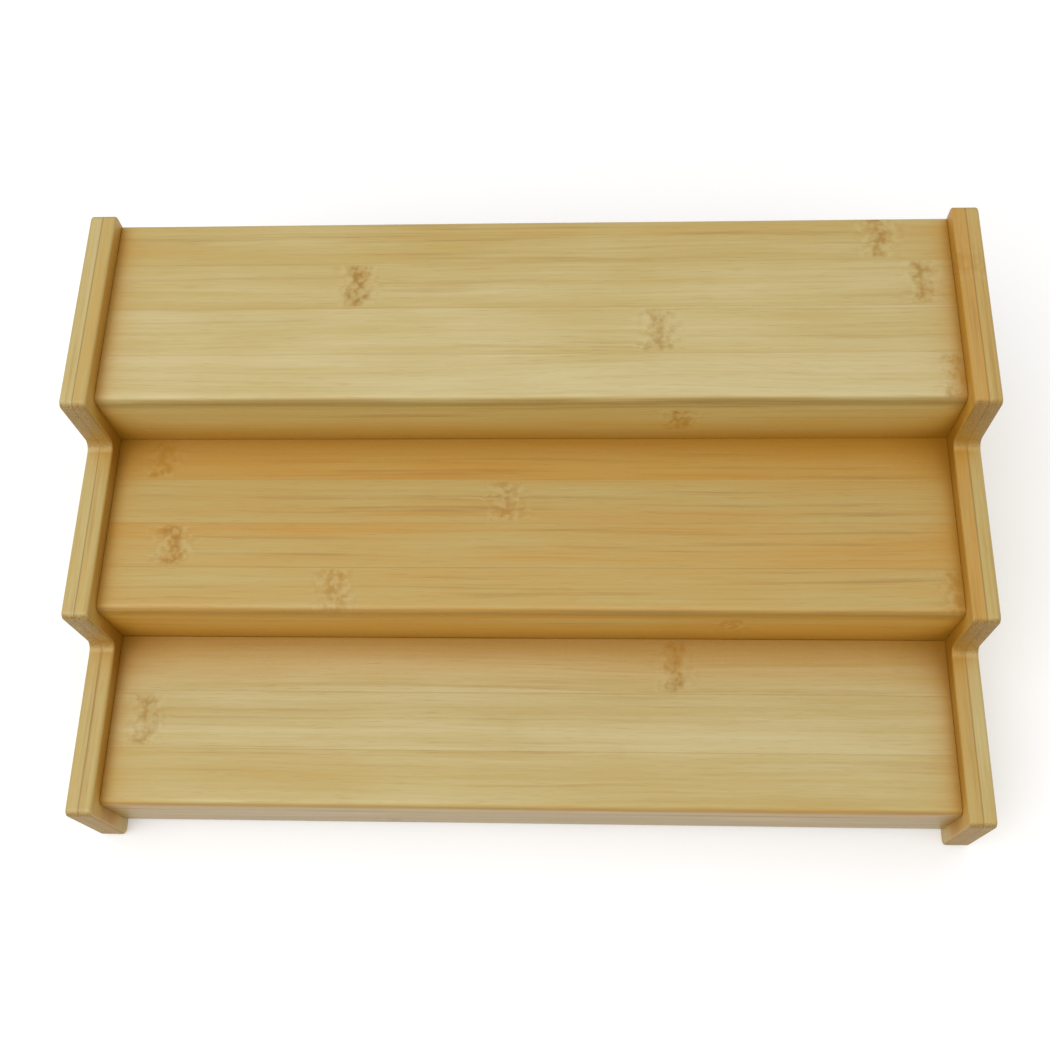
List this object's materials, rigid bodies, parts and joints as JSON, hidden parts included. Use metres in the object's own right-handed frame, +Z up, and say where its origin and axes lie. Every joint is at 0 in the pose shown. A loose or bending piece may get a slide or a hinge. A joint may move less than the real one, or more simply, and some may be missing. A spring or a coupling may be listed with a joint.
{
  "type": "tiered shelf riser",
  "caption": "Staircase shelf riser in bamboo: wide treads and risers between stepped side panels whose edges stand proud as low rails.",
  "frame": {"origin": "on the floor, at the middle of the width and of the depth", "axes": "+X to the right along the width, +Y from the low front step to the high back step, +Z up"},
  "size_m": [0.39, 0.2536, 0.121],
  "materials": {
    "bamboo_panel": "satin clear lacquer over two-ply bamboo, its plies showing on the sawn edges",
    "bamboo_board": "satin clear lacquer over edge-glued bamboo strips with node marks",
    "dowel_wood": "unfinished wood, hidden in the joints"
  },
  "bodies": {
    "root": {"side_panel_left": "bamboo_panel", "side_panel_right": "bamboo_panel", "tread_front": "bamboo_board", "riser_front": "bamboo_board", "tread_middle": "bamboo_board", "riser_middle": "bamboo_board", "tread_top": "bamboo_board", "riser_top": "bamboo_board", "dowel_tread_front_left_1": "dowel_wood", "dowel_tread_front_left_2": "dowel_wood", "dowel_riser_front_left": "dowel_wood", "dowel_tread_front_right_1": "dowel_wood", "dowel_tread_front_right_2": "dowel_wood", "dowel_riser_front_right": "dowel_wood", "dowel_tread_middle_left_1": "dowel_wood", "dowel_tread_middle_left_2": "dowel_wood", "dowel_riser_middle_left": "dowel_wood", "dowel_tread_middle_right_1": "dowel_wood", "dowel_tread_middle_right_2": "dowel_wood", "dowel_riser_middle_right": "dowel_wood", "dowel_tread_top_left_1": "dowel_wood", "dowel_tread_top_left_2": "dowel_wood", "dowel_riser_top_left": "dowel_wood", "dowel_tread_top_right_1": "dowel_wood", "dowel_tread_top_right_2": "dowel_wood", "dowel_riser_top_right": "dowel_wood"}
  },
  "joints": []
}
